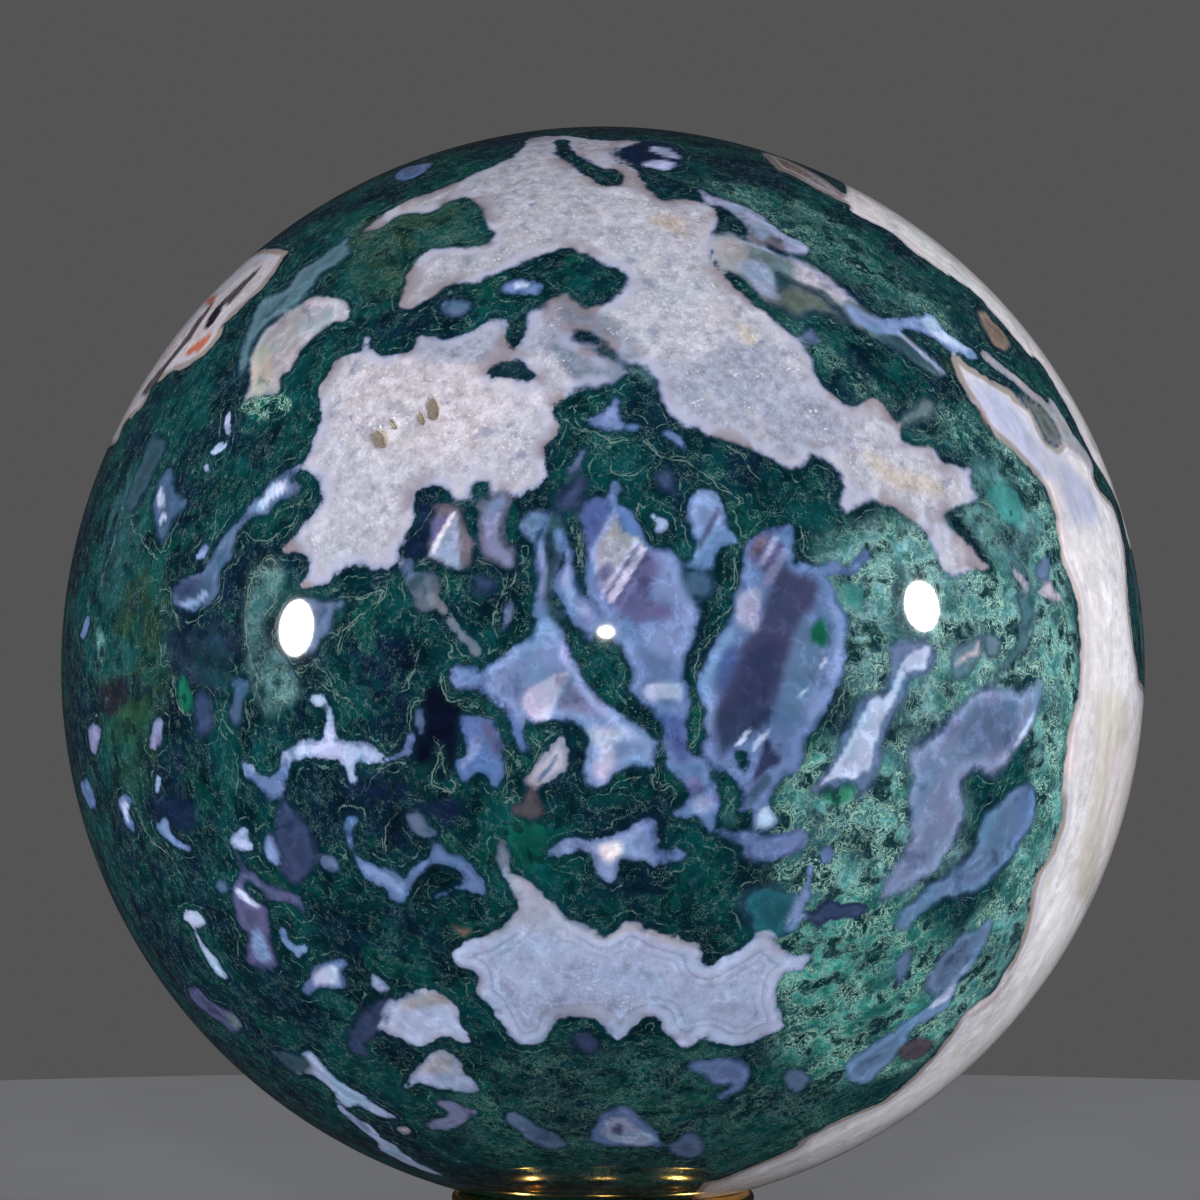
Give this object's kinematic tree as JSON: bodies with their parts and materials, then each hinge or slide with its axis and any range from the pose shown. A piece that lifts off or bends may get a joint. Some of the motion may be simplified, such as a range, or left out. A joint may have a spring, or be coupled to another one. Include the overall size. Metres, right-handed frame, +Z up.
{
  "type": "moss agate sphere",
  "caption": "Polished moss agate sphere resting in a small gold-coloured ring stand, for display on a shelf or table.",
  "frame": {"origin": "centre of the ring stand's flat underside, on the surface that it stands on", "axes": "+Z up along the ring's axis and through the sphere's centre; -Y is the side that the picture shows"},
  "size_m": [0.1, 0.1, 0.1063],
  "materials": {
    "moss_agate": "high polish, dark green moss with blue-grey and white quartz windows",
    "gold_metal": "polished gold plating"
  },
  "bodies": {
    "root": {"agate_sphere": "moss_agate", "stand_ring": "gold_metal"}
  },
  "joints": []
}
